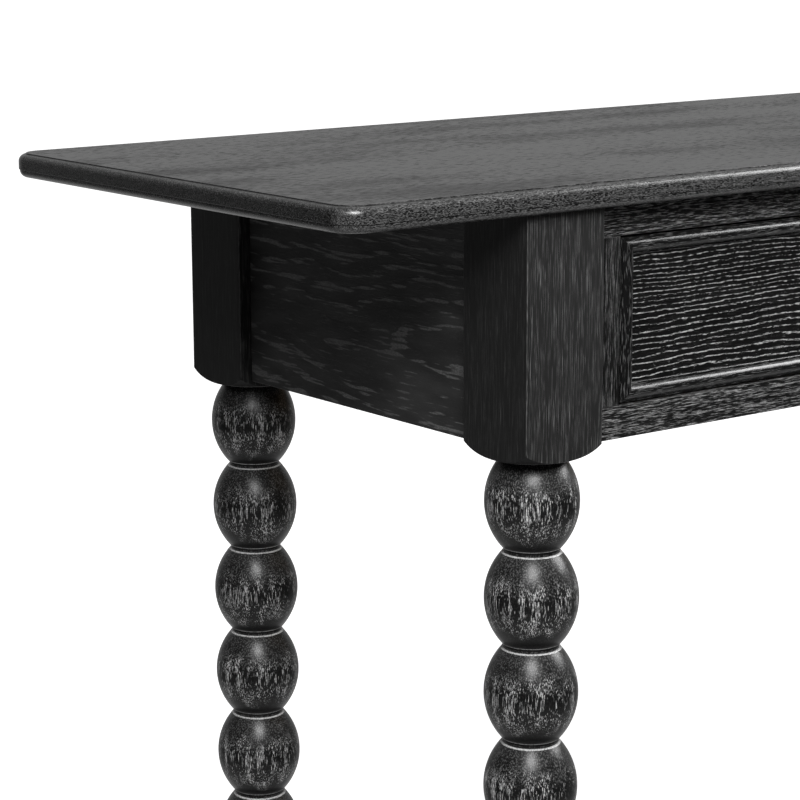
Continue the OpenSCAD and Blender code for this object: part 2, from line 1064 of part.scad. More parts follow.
// Half section of the knob: a foot on the field, a hollow flare, and a crown with an elliptical section
module knob_section() {
  foot_h = 2;
  flare_top = knob_l - 2 * knob_crown_h + 1;
  flare_rise = flare_top - foot_h;
  flare_in = knob_foot_d / 2 - 1 - knob_neck_d / 2;
  flare = [
    for (i = [0 : 6])
      [knob_neck_d / 2 + flare_in * pow(1 - i / 6, 2), foot_h + flare_rise * i / 6]
  ];
  crown = [
    for (a = [-55 : 12 : 89])
      [knob_d / 2 * cos(a), knob_l - knob_crown_h + knob_crown_h * sin(a)]
  ];
  polygon(concat(
    [[0, 0], [knob_foot_d / 2, 0], [knob_foot_d / 2, foot_h]],
    flare,
    crown,
    [[0, knob_l]]
  ));
}

module drawer_knob() {
  color(black_oak)
    translate([drawer_mid_x, field_y, knob_z])
      rotate([90, 0, 0])
        difference() {
          rotate_extrude()
            knob_section();
          translate([0, 0, -eps])
            cylinder(h = knob_screw_in + screw_gap + eps, d = knob_screw_d + 2 * screw_gap);
        }
}

module drawer_knob_screw() {
  color(steel)
    translate([drawer_mid_x, front_back_y, knob_z])
      rotate([90, 0, 0]) {
        translate([0, 0, -pan_head_h])
          cylinder(h = pan_head_h, d = screw_head_d);
        cylinder(h = front_t + knob_screw_in, d = knob_screw_d);
      }
}

// ---- What is drawn ----

table_top();
leg_front_left();
leg_front_right();
leg_back_left();
leg_back_right();
end_apron_left();
end_apron_right();
back_apron();
top_rail();
bottom_rail();
side_stile_left();
side_stile_right();
middle_stile();
runner_left();
runner_centre();
runner_right();
guide_left();
guide_centre();
guide_right();
kicker_left();
kicker_centre();
kicker_right();
glue_block_front_left();
glue_block_front_right();
glue_block_back_left();
glue_block_back_right();
glue_block_screws();
top_clips();
top_clip_screws();
rail_screws();
drawer_stops();
foot_glides();
mirror([1, 0, 0]) drawer_front();  // left_drawer_front
mirror([1, 0, 0]) drawer_bead_top();  // left_drawer_bead_top
mirror([1, 0, 0]) drawer_bead_bottom();  // left_drawer_bead_bottom
mirror([1, 0, 0]) drawer_bead_outer();  // left_drawer_bead_left
mirror([1, 0, 0]) drawer_bead_inner();  // left_drawer_bead_right
mirror([1, 0, 0]) drawer_outer_side();  // left_drawer_side_left
mirror([1, 0, 0]) drawer_inner_side();  // left_drawer_side_right
mirror([1, 0, 0]) drawer_back();  // left_drawer_back
mirror([1, 0, 0]) drawer_bottom();  // left_drawer_bottom
mirror([1, 0, 0]) drawer_knob();  // left_drawer_knob
mirror([1, 0, 0]) drawer_knob_screw();  // left_drawer_knob_screw
mirror([1, 0, 0]) drawer_stop_button();  // left_drawer_stop_button
mirror([1, 0, 0]) drawer_screws();  // left_drawer_screws
drawer_front();  // right_drawer_front
drawer_bead_top();  // right_drawer_bead_top
drawer_bead_bottom();  // right_drawer_bead_bottom
drawer_bead_inner();  // right_drawer_bead_left
drawer_bead_outer();  // right_drawer_bead_right
drawer_inner_side();  // right_drawer_side_left
drawer_outer_side();  // right_drawer_side_right
drawer_back();  // right_drawer_back
drawer_bottom();  // right_drawer_bottom
drawer_knob();  // right_drawer_knob
drawer_knob_screw();  // right_drawer_knob_screw
drawer_stop_button();  // right_drawer_stop_button
drawer_screws();  // right_drawer_screws
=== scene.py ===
"""Looks for the console table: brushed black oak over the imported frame. Metres, in the frame's own axes."""

import math

import bmesh
import bpy
from mathutils import Euler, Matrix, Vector


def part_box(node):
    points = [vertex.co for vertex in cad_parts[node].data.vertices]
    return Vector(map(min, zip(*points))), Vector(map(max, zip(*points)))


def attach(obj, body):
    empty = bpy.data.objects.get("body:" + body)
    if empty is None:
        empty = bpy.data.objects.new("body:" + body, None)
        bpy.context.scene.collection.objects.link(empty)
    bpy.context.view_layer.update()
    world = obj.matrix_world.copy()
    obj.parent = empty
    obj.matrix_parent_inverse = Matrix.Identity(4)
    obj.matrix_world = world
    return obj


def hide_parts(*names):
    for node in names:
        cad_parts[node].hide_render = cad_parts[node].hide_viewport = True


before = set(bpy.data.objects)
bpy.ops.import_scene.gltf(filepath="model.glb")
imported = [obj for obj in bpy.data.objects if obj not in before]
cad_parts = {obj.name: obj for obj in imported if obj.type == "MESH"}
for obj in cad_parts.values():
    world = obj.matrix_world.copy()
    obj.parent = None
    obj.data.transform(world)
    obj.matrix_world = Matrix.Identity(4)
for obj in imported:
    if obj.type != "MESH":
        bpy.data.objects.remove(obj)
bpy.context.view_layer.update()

MM = 0.001

# Turned legs
BEADS = 9
NECK_H = 3.4 * MM
BEAD_D = 62.8 * MM
BEAD_END_D = 39.4 * MM
NECK_D = 37.2 * MM
SHOULDER_R = 30 * MM
SHOULDER_STEP = 8.5 * MM
SHOULDER_UP = 2.5 * MM
NECK_DROP = 4 * MM
POST_EASE = 0.9 * MM
GLIDE_T = 4 * MM

# Moulded edge of the top
PLAN_CORNER_R = 22 * MM
UPPER_ROUND = 5.2 * MM
QUIRK = 0.7 * MM
LOWER_ROUND = 5 * MM
EDGE_GROOVE = 0.7 * MM

# Bead moulding on the drawer fronts
FILLET_V = 3 * MM
FILLET_W = 1.2 * MM
ROUND_W = 9 * MM
ROUND_RISE = 2.7 * MM
INNER_V = 1.5 * MM
INNER_FILLET_W = 2.8 * MM
MOULDING_W = FILLET_W + ROUND_W + INNER_FILLET_W

BOARD_EASE = 0.7 * MM

# How meshes are made: lengths in metres, angles in degrees
MERGE_WITHIN = 1e-6
NO_LENGTH = 1e-7
CREASE = 35
LEG_CREASE = 38
EDGE_CREASE = 40
SQUARE_ON = 0.999
ROUND_STEPS = 18

# Rows of points up each bead, and columns of points round the beads and the knobs
BEAD_STEPS = 28
BEAD_SEGMENTS = 96
KNOB_SEGMENTS = 72

# Fades: where one starts and ends and, where they aren't 0 and 1, the values there
NOISE_MEAN = 0.5
NOISE_MIDDLE = (0.3, 0.7)
CREST_RISE = 0.14
CREST_DROP = (0.90, 0.98, 1.0, 0.0)
RIDGE_CLIMB = (0.25, 0.72)
RIDGE_DROP = (0.88, 0.98, 1.0, 0.0)
BOARD_EDGE = (0.985, 0.80)
LEVEL_FACE = (0.90, 0.99)

# Camera: its place in metres, its angles in degrees
CAMERA_PLACE = (-1.6236, -1.3915, 0.9489)
CAMERA_YAW, CAMERA_PITCH, CAMERA_ROLL = 37.164, 11.582, -0.259
SENSOR_W, LENS, FAR_CLIP = 36, 114.26, 200

# Studio lights: place and side in metres, power in watts
LIT_POINT = (-0.55, -0.15, 0.6)
KEY_LIGHT = ((-1.60, -1.54, 2.03), 0.95, 66)
SIDE_LIGHT = ((0.56, -0.54, 1.26), 0.62, 16)
FLOOR_REACH = 60
FLOOR_TONE, FLOOR_ROUGHNESS, FLOOR_GLOW = 0.8, 0.9, 0.88
GLOW_WAY = (0.59, 0.78, 0.2)
GLOW_ALONG_WAY = (0.2, 1.0, 0.0, 0.46)
GLOW_FROM_BELOW = (-0.3, -0.6, 0.0, 0.5)
GLOW_FROM_ABOVE = (0.45, 0.9, 0.03, 0.45)


# ---- Places read from the frame ----

def span(node, axis):
    """A node's lowest and highest place along one axis."""
    low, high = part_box(node)
    return low[axis], high[axis]


TOP_LOW, TOP_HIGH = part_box("table_top")
UNDER_TOP = TOP_LOW[2]
FRAME_LOW = span("end_apron_left", 2)[0]
POST = span("leg_front_left", 0)[1] - span("leg_front_left", 0)[0]
BEAD_PITCH = (FRAME_LOW - NECK_DROP) / BEADS


# ---- Meshes ----

def piece_from(name, verts, faces, smooth_angle=CREASE):
    """A mesh object from points and faces. Creases sharper than an angle stay sharp."""
    mesh = bpy.data.meshes.new(name)
    mesh.from_pydata([tuple(v) for v in verts], [], faces)
    return settle(name, mesh, smooth_angle)


def settle(name, mesh, smooth_angle=CREASE):
    """Merges doubles, turns the faces outwards, shades the mesh and puts it in the scene."""
    work = bmesh.new()
    work.from_mesh(mesh)
    bmesh.ops.remove_doubles(work, verts=work.verts, dist=MERGE_WITHIN)
    bmesh.ops.dissolve_degenerate(work, edges=work.edges, dist=NO_LENGTH)
    bmesh.ops.recalc_face_normals(work, faces=work.faces)
    work.to_mesh(mesh)
    work.free()
    mesh.shade_smooth()
    mesh.set_sharp_from_angle(angle=math.radians(smooth_angle))
    made = bpy.data.objects.new(name, mesh)
    bpy.context.scene.collection.objects.link(made)
    return made


def loft(rings, cap=True):
    """Faces between rings of equally many points, each ring closed on itself. Returns points and faces."""
    count = len(rings[0])
    verts = [p for ring in rings for p in ring]
    faces = []
    for r in range(len(rings) - 1):
        for k in range(count):
            a, b = r * count + k, r * count + (k + 1) % count
            faces.append((a, b, b + count, a + count))
    if cap:
        faces.append(tuple(range(count)))
        faces.append(tuple(range(len(verts) - count, len(verts))))
    return verts, faces


def arc(cx, cy, r, start, end, steps):
    """Points along an arc about (cx, cy), its angles in degrees."""
    angles = [math.radians(start + (end - start) * i / steps) for i in range(steps + 1)]
    return [(cx + r * math.cos(a), cy + r * math.sin(a)) for a in angles]


def eased_board(name, low, high):
    """A board between two corners with its edges rounded over."""
    ease_segments, quarter_round = 3, 0.5
    work = bmesh.new()
    bmesh.ops.create_cube(work, size=1)
    size = Vector(high) - Vector(low)
    middle = (Vector(high) + Vector(low)) / 2
    for v in work.verts:
        v.co = Vector(c * s for c, s in zip(v.co, size)) + middle
    bmesh.ops.bevel(work, geom=work.edges[:], offset=BOARD_EASE, segments=ease_segments,
                    profile=quarter_round, affect="EDGES")
    mesh = bpy.data.meshes.new(name)
    flat = [max(abs(c) for c in f.normal) > SQUARE_ON for f in work.faces]
    work.to_mesh(mesh)
    work.free()
    mesh.shade_smooth()
    for face, is_flat in zip(mesh.polygons, flat):
        face.use_smooth = not is_flat
    made = bpy.data.objects.new(name, mesh)
    bpy.context.scene.collection.objects.link(made)
    return made


def lathe(name, profile, centre, axis_turn):
    """Turns (radius, height) pairs about Z, swings the shape by axis_turn and moves it to its centre."""
    rings = []
    for radius, height in profile:
        ring = []
        for k in range(KNOB_SEGMENTS):
            a = 2 * math.pi * k / KNOB_SEGMENTS
            at = Vector((radius * math.cos(a), radius * math.sin(a), height))
            at.rotate(axis_turn)
            ring.append(at + Vector(centre))
        rings.append(ring)
    return piece_from(name, *loft(rings))


# ---- Node trees ----

class Bench:
    """Adds nodes to one tree. node() returns the node, the other calls return what the node gives."""

    def __init__(self, tree):
        self.tree = tree

    def node(self, kind, inputs=None, **settings):
        made = self.tree.nodes.new(kind)
        for name, value in settings.items():
            setattr(made, name, value)
        for key, value in (inputs or {}).items():
            self.plug(made.inputs[key], value)
        return made

    def plug(self, socket, value):
        """Links a socket to another node, or sets it to a plain value."""
        if isinstance(value, bpy.types.NodeSocket):
            self.tree.links.new(value, socket)
        else:
            socket.default_value = value

    def math(self, operation, a, b=0.0):
        return self.node("ShaderNodeMath", {0: a, 1: b}, operation=operation).outputs[0]

    def plus(self, a, b):
        return self.math("ADD", a, b)

    def minus(self, a, b):
        return self.math("SUBTRACT", a, b)

    def times(self, a, b):
        return self.math("MULTIPLY", a, b)

    def over(self, a, b):
        return self.math("DIVIDE", a, b)

    def larger(self, a, b):
        return self.math("MAXIMUM", a, b)

    def fade(self, value, low, high, to_low=0.0, to_high=1.0):
        """Smooth change from to_low at low to to_high at high."""
        ends = {"Value": value, "From Min": low, "From Max": high, "To Min": to_low, "To Max": to_high}
        return self.node("ShaderNodeMapRange", ends, interpolation_type="SMOOTHSTEP").outputs[0]

    def parts(self, vector):
        """The three numbers of a vector."""
        return self.node("ShaderNodeSeparateXYZ", {0: vector}).outputs

    def stretched(self, place, stretch, shift=(0, 0, 0)):
        """A place scaled and shifted, for a pattern longer one way than another."""
        settings = {"Vector": place, "Scale": stretch, "Location": shift}
        return self.node("ShaderNodeMapping", settings).outputs[0]

    def noise(self, place, scale=1.0, detail=2.0, roughness=0.5):
        settings = {"Vector": place, "Scale": scale, "Detail": detail, "Roughness": roughness}
        return self.node("ShaderNodeTexNoise", settings).outputs[0]

    def between(self, amount, a, b):
        """The number a share of the way from a to b."""
        return self.node("ShaderNodeMix", {"Factor": amount, "A": a, "B": b}, data_type="FLOAT").outputs[0]

    def blend(self, amount, a, b):
        """The colour a share of the way from a to b, through a mix node's colour sockets."""
        return self.node("ShaderNodeMix", {0: amount, 6: a, 7: b}, data_type="RGBA").outputs[2]

    def bump(self, height, distance):
        """The way a surface faces once a height bends it, one unit of height being as deep as distance."""
        settings = {"Height": height, "Strength": 1.0, "Distance": distance}
        return self.node("ShaderNodeBump", settings).outputs[0]


def new_group(name, inputs, outputs):
    """An empty shader group with its bench, its input node's outputs and its output node's inputs."""
    tree = bpy.data.node_groups.new(name, "ShaderNodeTree")
    for label, kind in inputs:
        tree.interface.new_socket(label, in_out="INPUT", socket_type=kind)
    for label, kind in outputs:
        tree.interface.new_socket(label, in_out="OUTPUT", socket_type=kind)
    bench = Bench(tree)
    return tree, bench, bench.node("NodeGroupInput").outputs, bench.node("NodeGroupOutput").inputs


def make_oak_rings():
    """Growth rings cut by a board, about a pith line beside it, in mm with the grain along X."""
    slow_stretch, quick_stretch, wiggle_by = (0.006, 0.022, 0.022), (0.07, 0.25, 0.25), 1.6
    number, vector = "NodeSocketFloat", "NodeSocketVector"
    inputs = [("Place", vector), ("Pith Y", number), ("Pith Z", number), ("Ring Width", number),
              ("Lean", number), ("Wander", number)]
    tree, b, given, out = new_group("Oak rings", inputs, [("Ring", number), ("Strength", number)])

    def clouds(stretch):
        settings = {"Vector": b.stretched(given["Place"], stretch), "Scale": 1.0, "Detail": 2.0}
        return b.parts(b.node("ShaderNodeTexNoise", settings).outputs["Color"])

    slow, quick = clouds(slow_stretch), clouds(quick_stretch)
    place = b.parts(given["Place"])
    lean = b.times(place[0], given["Lean"])
    sides = []
    for axis, pith in ((1, "Pith Y"), (2, "Pith Z")):
        side = b.minus(place[axis], given[pith])
        wander = b.times(b.minus(slow[axis], NOISE_MEAN), given["Wander"])
        wiggle = b.times(b.minus(quick[axis], NOISE_MEAN), wiggle_by)
        side = b.plus(b.plus(side, wander), wiggle)
        sides.append(b.plus(side, lean) if axis == 1 else side)
    reach = b.math("SQRT", b.plus(b.times(sides[0], sides[0]), b.times(sides[1], sides[1])))
    turns = b.over(reach, given["Ring Width"])
    b.plug(out["Ring"], b.math("FRACT", turns))
    lot = b.node("ShaderNodeTexWhiteNoise", {"W": b.math("FLOOR", turns)}, noise_dimensions="1D").outputs[0]
    b.plug(out["Strength"], lot)
    return tree


OAK_RINGS = make_oak_rings()


def grain_place(b, grain):
    """Object coordinates in mm, turned so that the grain runs along X."""
    turn = {"X": (0, 0, 0), "Y": (0, 0, -math.pi / 2), "Z": (0, math.pi / 2, 0)}[grain]
    at = b.node("ShaderNodeTexCoord").outputs["Object"]
    turned = b.node("ShaderNodeMapping", {"Vector": at, "Rotation": turn}, vector_type="POINT").outputs[0]
    return b.node("ShaderNodeMapping", {"Vector": turned, "Scale": (1 / MM, 1 / MM, 1 / MM)}).outputs[0]


def oak_rings(b, place, pith, ring_width, lean=0.0, wander=10.0):
    """Ring fraction and ring strength at a place."""
    group = b.node("ShaderNodeGroup", node_tree=OAK_RINGS)
    values = {"Place": place, "Pith Y": pith[0], "Pith Z": pith[1], "Ring Width": ring_width,
              "Lean": lean, "Wander": wander}
    for key, value in values.items():
        b.plug(group.inputs[key], value)
    return group.outputs["Ring"], group.outputs["Strength"]


def facing(b):
    """The three numbers of the way a surface faces."""
    return b.parts(b.node("ShaderNodeNewGeometry").outputs["Normal"])


def eased_edge(b):
    """1 on a board's rounded edges, 0 on its faces."""
    normal = b.node("ShaderNodeNewGeometry").outputs["Normal"]
    size = b.parts(b.node("ShaderNodeVectorMath", {0: normal}, operation="ABSOLUTE").outputs[0])
    return b.fade(b.larger(b.larger(size[0], size[1]), size[2]), *BOARD_EDGE)


def facing_up(b):
    """1 on level upper faces, 0 everywhere else."""
    return b.fade(facing(b)[2], *LEVEL_FACE)


def facing_along_y(b):
    """1 on faces square to Y, 0 on faces along it."""
    return b.math("ABSOLUTE", facing(b)[1])


def new_finish(name):
    """An empty material with its bench and its shader."""
    finish = bpy.data.materials.new(name)
    finish.use_nodes = True
    finish.node_tree.nodes.clear()
    b = Bench(finish.node_tree)
    shader = b.node("ShaderNodeBsdfPrincipled")
    b.node("ShaderNodeOutputMaterial", {"Surface": shader.outputs[0]})
    return finish, b, shader


def grey(value):
    """A neutral colour."""
    return (value, value, value, 1)


def ridge_shape(b, ring):
    """Height over one ring: a slow climb through the hard late wood, then a drop into the open pores."""
    return b.times(b.fade(ring, *RIDGE_CLIMB), b.fade(ring, *RIDGE_DROP))


def long_noise(b, place, length, width, shift=(0, 0, 0), detail=2.0, roughness=0.55):
    """Noise drawn out along the grain, its lumps about as long and as wide as given, in mm."""
    drawn_out = b.stretched(place, (1 / length, 1 / width, 1 / width), shift)
    return b.noise(drawn_out, detail=detail, roughness=roughness)


def swing(b, noise, by):
    """A noise centred on 0 and scaled."""
    return b.times(b.minus(noise, NOISE_MEAN), by)


def brushed_oak(name, grain, pith, ring_width, lean=0.0, wander=10.0, black=0.006, rubbed=0.3,
                crest=0.62, figure=0.1, cover=0.62, even=0.5, dash=(6, 0.9), drift=0.12,
                ridge=0.15, pore=0.10, gloss=0.42, level=0.2):
    """Brushed black oak. The rubbed tone shows as fine dashes along the grain, thickest on the ring crests,
    where it is partly rubbed-through wear and partly painted highlight.

    black, rubbed: the ground's and the dashes' tones. crest: where in a ring its crest starts.
    figure: how far the crests gather the dashes. cover: the higher, the fewer dashes. even: the faintest
    ring. dash: a dash's length and width in mm. drift: how far broad patches differ. ridge, pore: relief
    in mm. gloss: roughness. level: shine.
    """
    marks, patches, pores = (2.2, 0.8, (7, 3, 1)), (70, 18, (3, 9, 4)), (9, 0.75, (11, 5, 2))
    broken_dash, full_ring, pore_walls = (0.35, 0.62, 0.45, 1.0), 0.8, (0.56, 0.70)
    dash_start, dash_full = cover - 0.05, cover + 0.06
    worn_edge = (0.40, 0.62, 0.07, 0.35)
    darker, lighter, gloss_spread, dulled, dash_relief = 0.7, 1.4, 0.16, 0.12, pore * 0.5
    finish, b, shader = new_finish(name)
    place = grain_place(b, grain)
    ring, strength = oak_rings(b, place, pith, ring_width, lean, wander)
    # The crest mask lightens the raised ring ridges: partly rubbed-through wear, partly painted highlight.
    crest_wear_and_highlight = b.times(b.fade(ring, crest, crest + CREST_RISE), b.fade(ring, *CREST_DROP))
    crest_wear_and_highlight = b.times(crest_wear_and_highlight, b.fade(strength, 0.0, full_ring, even, 1.0))
    dashes = long_noise(b, place, *dash, detail=1.5)
    fine = long_noise(b, place, *marks, detail=1.0)
    patch = long_noise(b, place, *patches)
    thick = b.plus(b.plus(dashes, b.times(crest_wear_and_highlight, figure)), swing(b, patch, drift))
    rub = b.times(b.fade(thick, dash_start, dash_full), b.fade(fine, *broken_dash))
    rub = b.larger(rub, b.times(eased_edge(b), b.fade(dashes, *worn_edge)))
    ground = b.blend(b.fade(patch, *NOISE_MIDDLE), grey(black * darker), grey(black * lighter))
    b.plug(shader.inputs["Base Color"], b.blend(rub, ground, grey(rubbed)))
    rough = b.plus(b.times(fine, gloss_spread), gloss - gloss_spread / 2)
    b.plug(shader.inputs["Roughness"], b.plus(rough, b.times(rub, dulled)))
    shader.inputs["Specular IOR Level"].default_value = level
    open_pore = b.fade(long_noise(b, place, *pores), *pore_walls)
    height = b.minus(b.times(ridge_shape(b, ring), ridge), b.times(open_pore, pore))
    height = b.plus(height, b.times(dashes, dash_relief))
    b.plug(shader.inputs["Normal"], b.bump(height, 1 * MM))
    return finish


def polished_oak(name, grain, cover, rubbed):
    """Moulded and turned black oak: semi-gloss, with fine pale flecks and a grained sheen."""
    black, gloss, gloss_spread, level, relief = 0.005, 0.24, 0.2, 0.55, 0.07 * MM
    fleck, patches, drift = (8.0, 0.62, (4, 2, 6)), (30, 6, (3, 9, 4)), 0.12
    rub_start, rub_full = cover - 0.04, cover + 0.06
    finish, b, shader = new_finish(name)
    place = grain_place(b, grain)
    flecks = long_noise(b, place, *fleck, detail=1.5)
    patch = long_noise(b, place, *patches)
    rub = b.fade(b.plus(flecks, swing(b, patch, drift)), rub_start, rub_full)
    b.plug(shader.inputs["Base Color"], b.blend(rub, grey(black), grey(rubbed)))
    b.plug(shader.inputs["Roughness"], b.plus(b.times(flecks, gloss_spread), gloss - gloss_spread / 2))
    shader.inputs["Specular IOR Level"].default_value = level
    b.plug(shader.inputs["Normal"], b.bump(flecks, relief))
    return finish


def top_oak():
    """The top: smooth, with long dark pores and broad dull bands.

    Its moulded edge is a black grained gloss with pale flecks all round, and fine pale specks on the front
    and back edges that are painted light; the ends keep only a few flecks.
    """
    edge_black, dull_black, bright_black, rubbed, level = 0.005, 0.014, 0.006, 0.20, 0.6
    edge_gloss, edge_spread, flat_gloss, flat_spread = 0.17, 0.24, 0.34, 0.42
    fleck_relief, pore_relief = 0.07, -0.04
    broad_band, long_pore = (190, 60, (6, 1, 2)), (7.5, 1.7)
    fleck, grain_of_grit = (7.0, 0.65, (4, 2, 6)), (2.0, 0.45, (1, 4, 6))
    pore_walls, band_sides, pores_in_bands, dull_bands = (0.66, 0.80), (0.50, 0.80), 0.30, 0.4
    fleck_range, fleck_share = (0.54, 0.66), 0.4
    grit_range, painted_light_front_back = (0.48, 0.64), (0.2, 0.6, 0.0, 0.55)
    finish, b, shader = new_finish("black oak, top")
    place = grain_place(b, "X")
    flat = facing_up(b)
    bands = long_noise(b, place, *broad_band, detail=1.0)
    pores = b.plus(long_noise(b, place, *long_pore, detail=3.0), b.times(bands, pores_in_bands))
    dull = b.larger(b.fade(pores, *pore_walls), b.times(b.fade(bands, *band_sides), dull_bands))
    flecks = long_noise(b, place, *fleck, detail=1.5)
    grit = long_noise(b, place, *grain_of_grit, detail=1.0)
    # Fine pale specks kept to the front and back edges: painted light on the edges that face the lights.
    specks_and_front_sheen = b.times(b.fade(grit, *grit_range), b.fade(facing_along_y(b), *painted_light_front_back))
    edge_flecks_and_sheen = b.larger(b.times(b.fade(flecks, *fleck_range), fleck_share), specks_and_front_sheen)
    edge_flecks_and_sheen = b.times(edge_flecks_and_sheen, b.minus(1.0, flat))
    ground = b.blend(flat, grey(edge_black), b.blend(dull, grey(dull_black), grey(bright_black)))
    b.plug(shader.inputs["Base Color"], b.blend(edge_flecks_and_sheen, ground, grey(rubbed)))
    edge_rough = b.plus(b.times(flecks, edge_spread), edge_gloss)
    flat_rough = b.plus(b.times(dull, flat_spread), flat_gloss)
    b.plug(shader.inputs["Roughness"], b.between(flat, edge_rough, flat_rough))
    shader.inputs["Specular IOR Level"].default_value = level
    height = b.between(flat, b.times(flecks, fleck_relief), b.times(dull, pore_relief))
    b.plug(shader.inputs["Normal"], b.bump(height, 1 * MM))
    return finish


def end_apron_oak():
    """End aprons: grain along Y in slow arches."""
    return brushed_oak("black oak, end aprons", "Y", (575, 640), 7.5, lean=0.06, wander=34, black=0.032,
                       rubbed=0.12, crest=0.45, figure=0.22, cover=0.70, even=0.15, dash=(22, 2.0),
                       drift=0.25, ridge=0.08, pore=0.08, gloss=0.5, level=0.25)


def long_oak():
    """Rails and the back apron: grain along X."""
    return brushed_oak("black oak, rails", "X", (-120, 560), 3.0, rubbed=0.24, figure=0.10, cover=0.575,
                       dash=(8.5, 0.46), ridge=0.16, pore=0.16, level=0.10)


def stile_oak():
    """Stiles: grain upright."""
    return brushed_oak("black oak, stiles", "Z", (-560, 90), 3.4, rubbed=0.12, figure=0.06, cover=0.59,
                       dash=(13, 0.42), ridge=0.12, pore=0.16, level=0.10)


def field_oak():
    """Drawer fields: deep brushed ridges with light crests, partly rubbed wear and partly painted highlight.
    """
    return brushed_oak("black oak, drawer fields", "X", (-75, 577), 2.35, wander=9, black=0.004,
                       rubbed=0.40, crest=0.64, figure=0.31, cover=0.74, even=0.7, dash=(4.5, 0.56),
                       drift=0.08, ridge=0.30, pore=0.14, level=0.07)


def moulding_oak(name, grain):
    """Drawer mouldings."""
    return polished_oak(name, grain, cover=0.58, rubbed=0.075)


def knob_oak():
    """Knobs."""
    return polished_oak("black oak, knobs", "Y", cover=0.60, rubbed=0.16)


def along_bead(b, level):
    """Where a level lies on its bead: -1 at the lower end, 0 at the middle, 1 at the upper end."""
    half = (BEAD_PITCH - NECK_H) / 2
    turned = b.math("FRACT", b.over(level, BEAD_PITCH))
    middle = 0.5
    return b.times(b.minus(turned, middle), BEAD_PITCH / half)


def bead_wear(b, place, along, patch):
    """Scratches up the beads' middles, light rims by the necks and painted light over the upper caps, with
    the relief they have.
    """
    scratch_size, grit_size = (9.0, 0.46, (5, 2, 8)), (1.3, 0.9, (1, 4, 6))
    column_size = (35, 5, (8, 8, 1))
    band_start, band_end, band_sway = (-0.80, -0.50), (0.32, 0.66, 1.0, 0.0), 0.9
    by_patch, by_column, scratch_range, broken = 0.15, 0.40, (0.585, 0.635), (0.36, 0.58, 0.4, 1.0)
    speck_range, painted_cap_light = (0.48, 0.66), (0.15, 0.5, 0.02, 0.14)
    rim_start, rim_end, rim_broken = (0.978, 0.988), (1.0, 1.01, 1.0, 0.0), (0.38, 0.52, 0.4, 1.0)
    scratch_relief, grit_relief = 0.25, 0.10
    scratch = long_noise(b, place, *scratch_size, detail=1.5)
    grit = long_noise(b, place, *grit_size, detail=1.0)
    columns = b.minus(long_noise(b, place, *column_size, detail=1.0), NOISE_MEAN)
    drift = b.minus(patch, NOISE_MEAN)
    ragged = b.plus(along, b.times(drift, band_sway))
    band = b.times(b.fade(ragged, *band_start), b.fade(ragged, *band_end))
    gathered = b.plus(b.times(drift, by_patch), b.times(columns, by_column))
    deep = b.times(b.fade(b.plus(scratch, gathered), *scratch_range), b.fade(grit, *broken))
    # Fine pale specks all over, made much stronger on each bead's upper end: painted light on the caps.
    specks_and_cap_light = b.times(b.fade(grit, *speck_range), b.fade(along, *painted_cap_light))
    worn = b.larger(b.times(deep, band), specks_and_cap_light)
    away = b.math("ABSOLUTE", along)
    rim = b.times(b.fade(away, *rim_start), b.fade(away, *rim_end))
    rim = b.times(rim, b.fade(grit, *rim_broken))
    relief = b.plus(b.times(b.times(scratch, band), scratch_relief), b.times(grit, grit_relief))
    return b.larger(worn, rim), relief


def leg_oak():
    """Legs: hairlines up the posts, painted lighter on the front and back faces, scratched bands round the
    beads, light rims at the necks, painted light on the bead caps.
    """
    rubbed, shine, post_rough, bead_rough, tick_spread, dulled = 0.56, 0.32, 0.55, 0.29, 0.06, 0.15
    patch_size, hair_size, tick_size = (22, 11, (2, 7, 5)), (30, 0.36), (6, 0.6, (9, 1, 3))
    hair_range, broken, painted_light_by_facing = (0.56, 0.64), (0.38, 0.62, 0.35, 1.0), (0.3, 0.9, 0.06, 0.20)
    worn_edge, post_black, dark_black = (0.35, 0.65, 0.03, 0.14), grey(0.006), grey(0.003)
    turned_below, turned_to = FRAME_LOW - 6 * MM, FRAME_LOW - 5 * MM
    square_from, square_by = FRAME_LOW + 2 * MM, FRAME_LOW + 5 * MM
    hair_relief, relief = 0.14, 0.6 * MM
    finish, b, shader = new_finish("black oak, legs")
    place = grain_place(b, "Z")
    level = b.parts(b.node("ShaderNodeTexCoord").outputs["Object"])[2]
    patch = long_noise(b, place, *patch_size)
    hairs = long_noise(b, place, *hair_size, detail=1.5)
    ticks = long_noise(b, place, *tick_size, detail=1.0)
    bead_rub, bead_relief = bead_wear(b, place, along_bead(b, level), patch)
    on_beads = b.fade(level, turned_below, turned_to, 1.0, 0.0)
    post_rub = b.times(b.fade(hairs, *hair_range), b.fade(ticks, *broken))
    # Hairlines strong on faces square to Y, faint on faces square to X: painted light on front and back,
    # painted shade on the sides.
    post_rub = b.times(post_rub, b.fade(facing_along_y(b), *painted_light_by_facing))
    square = b.fade(level, square_from, square_by)
    edge = b.times(b.times(eased_edge(b), square), b.fade(ticks, *worn_edge))
    rub = b.between(on_beads, b.larger(post_rub, edge), bead_rub)
    bead_ground = b.blend(b.fade(patch, *NOISE_MIDDLE), dark_black, post_black)
    ground = b.blend(on_beads, post_black, bead_ground)
    b.plug(shader.inputs["Base Color"], b.blend(rub, ground, grey(rubbed)))
    rough = b.plus(b.between(on_beads, post_rough, bead_rough), b.times(ticks, tick_spread))
    b.plug(shader.inputs["Roughness"], b.plus(rough, b.times(rub, dulled)))
    shader.inputs["Specular IOR Level"].default_value = shine
    height = b.between(on_beads, b.times(hairs, hair_relief), bead_relief)
    b.plug(shader.inputs["Normal"], b.bump(height, relief))
    return finish


